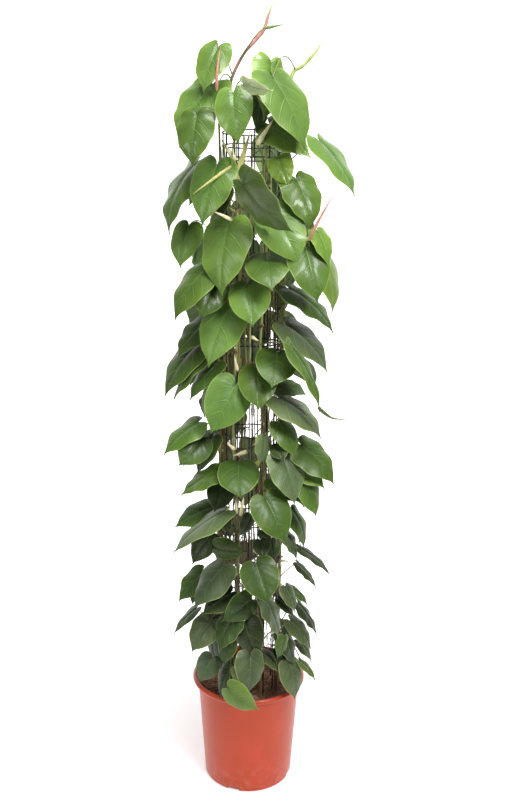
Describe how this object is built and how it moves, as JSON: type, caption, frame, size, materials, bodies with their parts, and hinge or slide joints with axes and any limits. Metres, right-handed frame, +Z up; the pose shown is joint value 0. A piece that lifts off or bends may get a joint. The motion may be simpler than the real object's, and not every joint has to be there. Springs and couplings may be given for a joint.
{
  "type": "potted climbing houseplant",
  "caption": "Tall heartleaf philodendron climbing a black wire column in a terracotta-coloured plastic nursery pot filled with soil.",
  "frame": {"origin": "the middle of the pot's flat underside, on the surface that the plant stands on", "axes": "+Z up along the plant's height, the pictured front towards -Y, +X to the viewer's right"},
  "size_m": [0.4113, 0.4285, 1.7736],
  "materials": {
    "pot": "satin",
    "soil": "matte",
    "wire": "satin",
    "foliage": "satin"
  },
  "bodies": {
    "root": {"pot": "pot", "soil": "soil", "wire_column": "wire", "leafy_stem_1": "foliage", "leafy_stem_2": "foliage", "leafy_stem_3": "foliage", "leafy_stem_4": "foliage", "leafy_stem_5": "foliage", "leafy_stem_6": "foliage", "leafy_stem_7": "foliage", "leafy_stem_8": "foliage"}
  },
  "joints": []
}
